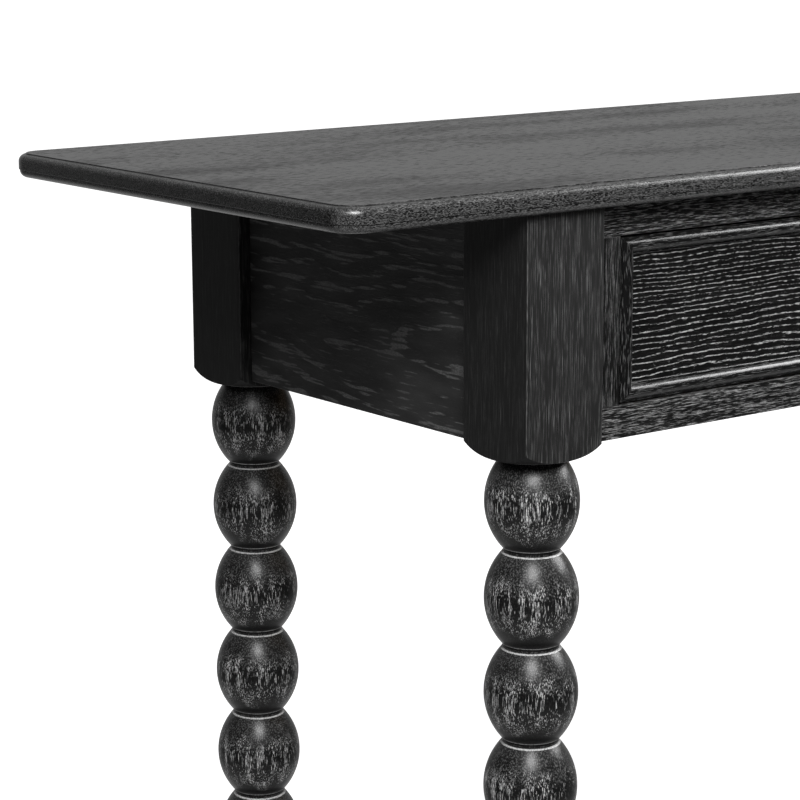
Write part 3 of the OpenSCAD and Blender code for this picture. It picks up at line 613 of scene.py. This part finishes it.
def drawer_timber(name, grain, pith):
    """Pale clear-lacquered oak inside the drawers and frame."""
    deep_tan, light_tan = (0.43, 0.30, 0.17, 1), (0.52, 0.38, 0.23, 1)
    late_brown, pore_brown = (0.33, 0.21, 0.11, 1), (0.16, 0.10, 0.05, 1)
    pore_walls, pore_share, gloss_range = (0.40, 0.30), 0.55, (0.3, 0.6, 0.62, 0.48)
    ring_strength, pore_relief, ring_relief, relief = (0.0, 1.0, 0.15, 0.45), 0.5, 0.2, 0.12 * MM
    finish, b, shader = new_finish(name)
    place = grain_place(b, grain)
    ring, strength = oak_rings(b, place, pith, ring_width=3.4, lean=0.03, wander=18)
    hump = ridge_shape(b, ring)
    pores = long_noise(b, place, length=7, width=0.5, roughness=0.5)
    cloud = long_noise(b, place, length=140, width=35, roughness=0.5)
    wood = b.blend(b.fade(cloud, *NOISE_MIDDLE), deep_tan, light_tan)
    late = b.times(hump, b.fade(strength, *ring_strength))
    wood = b.blend(late, wood, late_brown)
    open_pore = b.times(b.fade(pores, *pore_walls), pore_share)
    b.plug(shader.inputs["Base Color"], b.blend(open_pore, wood, pore_brown))
    b.plug(shader.inputs["Roughness"], b.fade(pores, *gloss_range))
    height = b.plus(b.times(pores, pore_relief), b.times(hump, ring_relief))
    b.plug(shader.inputs["Normal"], b.bump(height, relief))
    return finish


def zinc_steel():
    """Zinc-plated screws and clips: faint clouding and scuffs."""
    dark_zinc, light_zinc = (0.44, 0.46, 0.48, 1), (0.60, 0.61, 0.61, 1)
    finish, b, shader = new_finish("zinc-plated steel")
    at = b.node("ShaderNodeTexCoord").outputs["Object"]
    cloud = b.noise(at, scale=220, detail=3.0)
    scuff = b.noise(b.stretched(at, (900, 900, 160)), detail=2.0)
    bright, scuffed = 0.26, 0.48
    b.plug(shader.inputs["Base Color"], b.blend(b.fade(cloud, *NOISE_MIDDLE), dark_zinc, light_zinc))
    b.plug(shader.inputs["Roughness"], b.fade(scuff, *NOISE_MIDDLE, bright, scuffed))
    shader.inputs["Metallic"].default_value = 1.0
    b.plug(shader.inputs["Normal"], b.bump(scuff, 0.03 * MM))
    return finish


def glide_nylon():
    """Moulded black nylon glides: fine spark texture, scuffed underneath."""
    dark_nylon, worn_nylon = grey(0.018), grey(0.034)
    finish, b, shader = new_finish("moulded nylon")
    at = b.node("ShaderNodeTexCoord").outputs["Object"]
    grain = b.noise(at, scale=1800, detail=1.5)
    cloud = b.noise(at, scale=140, detail=2.0)
    smoother, rougher, scuffs = 0.42, 0.62, (0.35, 0.7)
    b.plug(shader.inputs["Base Color"], b.blend(b.fade(cloud, *scuffs), dark_nylon, worn_nylon))
    b.plug(shader.inputs["Roughness"], b.fade(grain, *NOISE_MIDDLE, smoother, rougher))
    b.plug(shader.inputs["Normal"], b.bump(grain, 0.05 * MM))
    return finish


# ---- Pieces ----

def finish_piece(piece, material, body, *nodes, slot="black_oak"):
    """Gives a piece its material and its body, and hides the frame nodes it stands for."""
    piece.data.materials.clear()
    piece.data.materials.append(material)
    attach(piece, body)
    if nodes:
        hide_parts(*nodes)


def top_edge_profile():
    """(reach, level) points down the moulded edge, from the corner's centre and from the top surface."""
    thick = TOP_HIGH[2] - TOP_LOW[2]
    groove_z = -thick + LOWER_ROUND
    upper_x = PLAN_CORNER_R - UPPER_ROUND
    low_x = PLAN_CORNER_R - EDGE_GROOVE - LOWER_ROUND
    ease = 0.15 * MM
    points = [(upper_x - ease, 0), (upper_x, -ease), (upper_x, -QUIRK)]
    points += arc(upper_x, -QUIRK - UPPER_ROUND, UPPER_ROUND, 90, 0, ROUND_STEPS)[1:]
    points += [(PLAN_CORNER_R, groove_z + EDGE_GROOVE + ease),
               (PLAN_CORNER_R - ease, groove_z + EDGE_GROOVE),
               (PLAN_CORNER_R - EDGE_GROOVE, groove_z + EDGE_GROOVE)]
    points += arc(low_x, groove_z, LOWER_ROUND, 0, -90, 16)
    return points


def make_top():
    """The top: its moulded edge carried round a rectangle with rounded corners."""
    centres = [(TOP_HIGH[0] - PLAN_CORNER_R, TOP_HIGH[1] - PLAN_CORNER_R),
               (TOP_LOW[0] + PLAN_CORNER_R, TOP_HIGH[1] - PLAN_CORNER_R),
               (TOP_LOW[0] + PLAN_CORNER_R, TOP_LOW[1] + PLAN_CORNER_R),
               (TOP_HIGH[0] - PLAN_CORNER_R, TOP_LOW[1] + PLAN_CORNER_R)]
    stations = []
    for corner, (cx, cy) in enumerate(centres):
        for k in range(ROUND_STEPS + 1):
            a = math.radians(90 * corner + 90 * k / ROUND_STEPS)
            stations.append((cx, cy, math.cos(a), math.sin(a)))
    rings = []
    for reach, level in top_edge_profile():
        rings.append([(cx + reach * dx, cy + reach * dy, TOP_HIGH[2] + level)
                      for cx, cy, dx, dy in stations])
    top = piece_from("top_board", *loft(rings), smooth_angle=EDGE_CREASE)
    level_face, strip_corners = 0.9999, 8
    for face in top.data.polygons:
        if abs(face.normal[2]) > level_face and len(face.vertices) > strip_corners:
            face.use_smooth = False
    finish_piece(top, top_oak(), "table", "table_top")


def bead_tree():
    """Geometry nodes that turn a stack of beads: rows of points up the leg, each a ring round its axis."""
    tree = bpy.data.node_groups.new("Turned beads", "GeometryNodeTree")
    face = tree.interface
    face.new_socket("Geometry", in_out="OUTPUT", socket_type="NodeSocketGeometry")
    whole = [("Beads", BEADS), ("Steps", BEAD_STEPS), ("Segments", BEAD_SEGMENTS)]
    sizes = [("Pitch", BEAD_PITCH), ("Neck Height", NECK_H), ("Bead Diameter", BEAD_D),
             ("End Diameter", BEAD_END_D), ("Neck Diameter", NECK_D), ("Foot Level", GLIDE_T),
             ("Axis X", 0.0), ("Axis Y", 0.0)]
    for label, value in whole:
        face.new_socket(label, in_out="INPUT", socket_type="NodeSocketInt").default_value = value
    for label, value in sizes:
        face.new_socket(label, in_out="INPUT", socket_type="NodeSocketFloat").default_value = value
    face.new_socket("Material", in_out="INPUT", socket_type="NodeSocketMaterial")
    b = Bench(tree)
    given = b.node("NodeGroupInput").outputs
    # Each bead takes a row at the neck's middle, one at its upper end, those of the arc, and one at the
    # next neck's lower end. Rows are whole numbers, so halves tell them apart.
    arc_from, rows_besides, past_arc = 2, 4, 1.001
    rows_each = b.plus(given["Steps"], rows_besides)
    rows = b.plus(b.times(rows_each, given["Beads"]), 1)
    columns = b.plus(given["Segments"], 1)
    grid = b.node("GeometryNodeMeshGrid",
                  {"Size X": 1.0, "Size Y": 1.0, "Vertices X": rows, "Vertices Y": columns})
    spot = b.parts(b.node("GeometryNodeInputPosition").outputs[0])
    row = b.math("ROUND", b.times(b.plus(spot[0], 0.5), b.minus(rows, 1)))
    column = b.math("ROUND", b.times(b.plus(spot[1], 0.5), given["Segments"]))
    bead = b.math("FLOOR", b.over(b.plus(row, 0.5), rows_each))
    step = b.minus(row, b.times(bead, rows_each))
    # Arc through the widest point and both ends of the bead
    half = b.over(b.minus(given["Pitch"], given["Neck Height"]), 2)
    rise = b.over(b.minus(given["Bead Diameter"], given["End Diameter"]), 2)
    square = b.plus(b.times(rise, rise), b.times(half, half))
    radius = b.over(square, b.times(rise, 2))
    inset = b.minus(radius, b.over(given["Bead Diameter"], 2))
    swing = b.math("ARCSINE", b.over(half, radius))
    along = b.over(b.minus(step, arc_from), given["Steps"])
    angle = b.times(swing, b.minus(b.times(along, 2), 1))
    arc_r = b.minus(b.times(radius, b.math("COSINE", angle)), inset)
    arc_z = b.times(radius, b.math("SINE", angle))
    # Where a row isn't on the arc, it is on a neck
    on_arc = b.times(b.math("GREATER_THAN", step, arc_from - 0.5), b.math("LESS_THAN", along, past_arc))
    after = b.math("GREATER_THAN", along, past_arc)
    middle = b.math("LESS_THAN", step, 0.5)
    neck_z = b.times(half, b.minus(b.times(after, 2), 1))
    neck_z = b.plus(neck_z, b.times(middle, b.times(given["Neck Height"], -0.5)))
    neck_r = b.over(given["Neck Diameter"], 2)
    local_r = b.plus(b.times(on_arc, arc_r), b.times(b.minus(1, on_arc), neck_r))
    local_z = b.plus(b.times(on_arc, arc_z), b.times(b.minus(1, on_arc), neck_z))
    level = b.plus(b.times(b.plus(bead, 0.5), given["Pitch"]), local_z)
    # The first and last rows close to a point
    first = b.math("LESS_THAN", row, 0.5)
    last = b.math("GREATER_THAN", row, b.minus(rows, 1.5))
    open_row = b.minus(1, b.plus(first, last))
    ring_r = b.times(local_r, open_row)
    level = b.larger(level, given["Foot Level"])
    turn = b.times(b.over(column, given["Segments"]), 2 * math.pi)
    x = b.plus(given["Axis X"], b.times(ring_r, b.math("COSINE", turn)))
    y = b.plus(given["Axis Y"], b.times(ring_r, b.math("SINE", turn)))
    place = b.node("ShaderNodeCombineXYZ", {0: x, 1: y, 2: level}).outputs[0]
    set_place = b.node("GeometryNodeSetPosition", {"Geometry": grid.outputs[0], "Position": place})
    joined = b.node("GeometryNodeMergeByDistance",
                    {"Geometry": set_place.outputs[0], "Distance": MERGE_WITHIN})
    plain = b.node("GeometryNodeRealizeInstances", {"Geometry": joined.outputs[0]})
    finished = b.node("GeometryNodeSetMaterial",
                      {"Geometry": plain.outputs[0], "Material": given["Material"]})
    b.node("NodeGroupOutput", {"Geometry": finished.outputs[0]})
    return tree


def grown(name, tree, values):
    """The plain mesh that a geometry node tree makes with the given input values."""
    holder = bpy.data.objects.new(name, bpy.data.meshes.new(name))
    bpy.context.scene.collection.objects.link(holder)
    modifier = holder.modifiers.new("grow", "NODES")
    modifier.node_group = tree
    for item in tree.interface.items_tree:
        if item.in_out == "INPUT" and item.name in values:
            modifier[item.identifier] = values[item.name]
    bpy.context.view_layer.update()
    seen = holder.evaluated_get(bpy.context.evaluated_depsgraph_get())
    mesh = bpy.data.meshes.new_from_object(seen)
    bpy.data.objects.remove(holder)
    return mesh


def post_outline():
    """Points round the square post with its corners eased, about its own axis."""
    half = POST / 2
    flat = half - POST_EASE
    ease_steps = 5
    points = []
    for side in range(4):
        turn = math.radians(90 * side)
        local = [(half, -flat + 2 * flat * k / ROUND_STEPS) for k in range(ROUND_STEPS)]
        local += arc(flat, flat, POST_EASE, 0, 90, ease_steps)[:-1]
        points += [(x * math.cos(turn) - y * math.sin(turn), x * math.sin(turn) + y * math.cos(turn))
                   for x, y in local]
    return points


def post_rings(centre):
    """Rings of the post: a turned rounding that meets each face in a curve, then the square part."""
    flat_r = POST / 2 - SHOULDER_STEP
    corner = math.sqrt(2) * POST / 2
    turn_z = FRAME_LOW + SHOULDER_UP + SHOULDER_R * math.sin(math.acos((corner - flat_r) / SHOULDER_R))
    outline = post_outline()
    steps = 16
    foot_of_flat, head_of_flat = FRAME_LOW + 10 * MM, UNDER_TOP - 1 * MM
    rings = [[(*centre, turn_z - SHOULDER_R)] * len(outline)]
    for k in range(steps + 1):
        ring = []
        for x, y in outline:
            reach = math.hypot(x, y)
            meets = math.acos((reach - flat_r) / SHOULDER_R)
            a = math.pi / 2 + (meets - math.pi / 2) * k / steps
            r = flat_r + SHOULDER_R * math.cos(a)
            ring.append((centre[0] + x / reach * r, centre[1] + y / reach * r,
                         turn_z - SHOULDER_R * math.sin(a)))
        rings.append(ring)
    for level in (foot_of_flat, (FRAME_LOW + UNDER_TOP) / 2, head_of_flat, UNDER_TOP):
        rings.append([(centre[0] + x, centre[1] + y, level) for x, y in outline])
    rings.append([(*centre, UNDER_TOP)] * len(outline))
    return rings


def make_leg(node, tree, material):
    """One leg: a turned stack of beads under a square post."""
    low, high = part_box(node)
    centre = ((low[0] + high[0]) / 2, (low[1] + high[1]) / 2)
    values = {"Beads": BEADS, "Pitch": BEAD_PITCH, "Neck Height": NECK_H,
              "Bead Diameter": BEAD_D, "End Diameter": BEAD_END_D, "Neck Diameter": NECK_D,
              "Foot Level": GLIDE_T, "Axis X": centre[0], "Axis Y": centre[1], "Material": material}
    mesh = grown(node + "_turned", tree, values)
    work = bmesh.new()
    work.from_mesh(mesh)
    points, faces = loft(post_rings(centre), cap=False)
    made = [work.verts.new(p) for p in points]
    for face in faces:
        work.faces.new([made[k] for k in face])
    work.to_mesh(mesh)
    work.free()
    leg = settle("turned_" + node, mesh, smooth_angle=LEG_CREASE)
    finish_piece(leg, material, "table", node)


def make_legs():
    """All four legs."""
    tree = bead_tree()
    material = leg_oak()
    for node in ("leg_front_left", "leg_front_right", "leg_back_left", "leg_back_right"):
        make_leg(node, tree, material)


def between(node, axis, low_node, high_node):
    """A node's box without its tenons: cut back along one axis to the inner faces of two neighbours."""
    low, high = (list(c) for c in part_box(node))
    low[axis] = span(low_node, axis)[1]
    high[axis] = span(high_node, axis)[0]
    return low, high


def make_frame_boards():
    """Aprons, rails and stiles, without the tenons that the joints hide."""
    end, rail, stile = end_apron_oak(), long_oak(), stile_oak()
    for side in ("left", "right"):
        board = eased_board("board_end_apron_" + side,
                            *between("end_apron_" + side, 1, "leg_front_" + side, "leg_back_" + side))
        finish_piece(board, end, "table", "end_apron_" + side)
    board = eased_board("board_back_apron", *between("back_apron", 0, "leg_back_left", "leg_back_right"))
    finish_piece(board, rail, "table", "back_apron")
    for node in ("top_rail", "bottom_rail"):
        board = eased_board("board_" + node, *between(node, 0, "leg_front_left", "leg_front_right"))
        finish_piece(board, rail, "table", node)
    for node in ("side_stile_left", "middle_stile", "side_stile_right"):
        board = eased_board("board_" + node, *between(node, 2, "bottom_rail", "top_rail"))
        finish_piece(board, stile, "table", node)


def moulding_section():
    """(inset, rise) points over the moulding: outer fillet, round, small inner fillet."""
    radius = (ROUND_W ** 2 / 4 + ROUND_RISE ** 2) / (2 * ROUND_RISE)
    spread = math.degrees(math.asin(ROUND_W / 2 / radius))
    ease = 0.3 * MM
    points = [(0, 0), (0, FILLET_V - ease), (ease, FILLET_V)]
    round_top = FILLET_V + ROUND_RISE
    points += arc(FILLET_W + ROUND_W / 2, round_top - radius, radius, 90 + spread, 90 - spread, ROUND_STEPS)
    points += [(FILLET_W + ROUND_W, INNER_V)]
    points += arc(MOULDING_W - INNER_V, INNER_V / 2, INNER_V / 2, 90, 0, 6)
    points += [(MOULDING_W - INNER_V / 2, 0)]
    return points


def make_moulding(drawer, side, material):
    """One mitred strip of a drawer's moulding: its outer edge follows the front's edge."""
    low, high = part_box(drawer + "_front")
    field = low[1]
    ends = {"bottom": ((low[0], low[2]), (high[0], low[2]), (1, 0), (0, 1)),
            "top": ((low[0], high[2]), (high[0], high[2]), (1, 0), (0, -1)),
            "left": ((low[0], low[2]), (low[0], high[2]), (0, 1), (1, 0)),
            "right": ((high[0], low[2]), (high[0], high[2]), (0, 1), (-1, 0))}
    start, stop, along, inwards = ends[side]
    rings = []
    for corner, way in ((start, 1), (stop, -1)):
        rings.append([(corner[0] + (way * along[0] + inwards[0]) * inset, field - rise,
                       corner[1] + (way * along[1] + inwards[1]) * inset)
                      for inset, rise in moulding_section()])
    strip = piece_from(f"{drawer}_moulding_{side}", *loft(rings), smooth_angle=EDGE_CREASE)
    finish_piece(strip, material, drawer, f"{drawer}_bead_{side}")


def knob_profile(node):
    """(radius, height) points of a knob in its node's size: a foot, a hollow flare and a domed crown."""
    low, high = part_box(node)
    length, across = high[1] - low[1], high[0] - low[0]
    foot, neck, crown, foot_h = 21 * MM, 14 * MM, 6.5 * MM, 2 * MM
    ease = 0.4 * MM
    flare_steps, crown_steps, crown_from, crown_turn = 12, 24, -55, 145
    points = [(0, 0), (foot / 2, 0), (foot / 2, foot_h - ease), (foot / 2 - ease, foot_h)]
    flare_top = length - 2 * crown + 1 * MM
    spread = foot / 2 - 1 * MM - neck / 2
    for k in range(flare_steps + 1):
        t = k / flare_steps
        points.append((neck / 2 + spread * (1 - t) ** 2, foot_h + (flare_top - foot_h) * t))
    for k in range(crown_steps + 1):
        a = math.radians(crown_from + crown_turn * k / crown_steps)
        points.append((across / 2 * math.cos(a), length - crown + crown * math.sin(a)))
    return points


def make_drawer_faces():
    """Each drawer's field, mouldings and knob."""
    field = field_oak()
    mouldings = {"X": moulding_oak("black oak, level mouldings", "X"),
                 "Z": moulding_oak("black oak, upright mouldings", "Z")}
    knob_finish = knob_oak()
    for drawer in ("left_drawer", "right_drawer"):
        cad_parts[drawer + "_front"].data.materials.clear()
        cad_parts[drawer + "_front"].data.materials.append(field)
        for side, grain in (("bottom", "X"), ("top", "X"), ("left", "Z"), ("right", "Z")):
            make_moulding(drawer, side, mouldings[grain])
        low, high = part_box(drawer + "_knob")
        centre = ((low[0] + high[0]) / 2, high[1], (low[2] + high[2]) / 2)
        outwards = Euler((math.pi / 2, 0, 0))
        knob = lathe(drawer + "_turned_knob", knob_profile(drawer + "_knob"), centre, outwards)
        finish_piece(knob, knob_finish, drawer, drawer + "_knob")


def finish_inside():
    """Materials for the frame's own nodes that show as they are: bearers, drawer boxes, fixings, glides."""
    across = drawer_timber("drawer oak, grain along", "X", (-80, 420))
    deep = drawer_timber("drawer oak, grain front to back", "Y", (120, 500))
    upright = drawer_timber("drawer oak, grain upright", "Z", (90, 300))
    steel, nylon = zinc_steel(), glide_nylon()
    for name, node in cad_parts.items():
        words = set(name.split("_"))
        if name == "top_clips" or words & {"screws", "screw"}:
            material = steel
        elif name == "foot_glides":
            material = nylon
        elif words & {"runner", "guide", "kicker", "side", "stops"} and "stile" not in words:
            material = deep
        elif name.endswith("_drawer_back") or name.endswith("_drawer_bottom"):
            material = across
        elif words & {"glue", "button"}:
            material = upright
        else:
            continue
        node.data.materials.clear()
        node.data.materials.append(material)


# ---- Studio ----

def make_camera():
    """The camera, from the left of the front corner and a little above the top."""
    camera = bpy.data.objects.new("camera", bpy.data.cameras.new("camera"))
    bpy.context.scene.collection.objects.link(camera)
    camera.data.sensor_width = SENSOR_W
    camera.data.lens = LENS
    camera.data.clip_end = FAR_CLIP
    camera.location = CAMERA_PLACE
    yaw, pitch, roll = math.radians(CAMERA_YAW), math.radians(CAMERA_PITCH), math.radians(CAMERA_ROLL)
    turn = Euler((0, 0, -yaw)).to_matrix() @ Euler((math.pi / 2 - pitch, 0, 0)).to_matrix()
    camera.rotation_euler = (turn @ Euler((0, 0, roll)).to_matrix()).to_euler()
    bpy.context.scene.camera = camera


def softbox(name, place, size, power):
    """A square studio light aimed at the left end of the table."""
    light = bpy.data.lights.new(name, "AREA")
    light.shape = "SQUARE"
    light.size = size
    light.energy = power
    made = bpy.data.objects.new(name, light)
    bpy.context.scene.collection.objects.link(made)
    made.location = place
    made.rotation_euler = (Vector(LIT_POINT) - Vector(place)).to_track_quat("-Z", "Y").to_euler()
    made.visible_camera = False


def make_floor():
    """A wide white floor that lights nothing and shows in no gloss."""
    floor_mesh = bpy.data.meshes.new("floor")
    reach = FLOOR_REACH
    floor_mesh.from_pydata([(-reach, -reach, 0), (reach, -reach, 0), (reach, reach, 0), (-reach, reach, 0)],
                           [], [(0, 1, 2, 3)])
    floor = bpy.data.objects.new("floor", floor_mesh)
    bpy.context.scene.collection.objects.link(floor)
    paper, bench, shader = new_finish("white studio floor")
    looks = {"Base Color": grey(FLOOR_TONE), "Roughness": FLOOR_ROUGHNESS,
             "Emission Color": grey(1.0), "Emission Strength": FLOOR_GLOW}
    for socket, value in looks.items():
        bench.plug(shader.inputs[socket], value)
    floor_mesh.materials.append(paper)
    floor.visible_glossy = False
    floor.visible_diffuse = False


def make_surround():
    """White where the camera sees it; otherwise a soft glow from one way, from below and from overhead."""
    world = bpy.data.worlds.new("studio")
    bpy.context.scene.world = world
    world.use_nodes = True
    world.node_tree.nodes.clear()
    b = Bench(world.node_tree)
    way = b.node("ShaderNodeTexCoord").outputs["Generated"]
    glow_way = tuple(Vector(GLOW_WAY).normalized())
    lean = b.node("ShaderNodeVectorMath", {0: way, 1: glow_way}, operation="DOT_PRODUCT").outputs["Value"]
    up = b.parts(way)[2]
    level = b.plus(b.fade(lean, *GLOW_ALONG_WAY), b.fade(up, *GLOW_FROM_BELOW))
    level = b.plus(level, b.fade(up, *GLOW_FROM_ABOVE))
    seen = b.node("ShaderNodeLightPath").outputs["Is Camera Ray"]
    dim = b.node("ShaderNodeBackground", {"Color": grey(1.0), "Strength": level})
    white = b.node("ShaderNodeBackground", {"Color": grey(1.0), "Strength": 1.0})
    both = b.node("ShaderNodeMixShader", {0: seen, 1: dim.outputs[0], 2: white.outputs[0]})
    b.node("ShaderNodeOutputWorld", {"Surface": both.outputs[0]})


def make_studio():
    """A white floor and surround, a key light over the camera, and a side light over the drawers' front."""
    make_floor()
    softbox("key light", *KEY_LIGHT)
    softbox("side light", *SIDE_LIGHT)
    make_surround()
    bpy.context.scene.view_settings.view_transform = "Standard"


make_camera()
make_top()
make_legs()
make_frame_boards()
make_drawer_faces()
finish_inside()
make_studio()
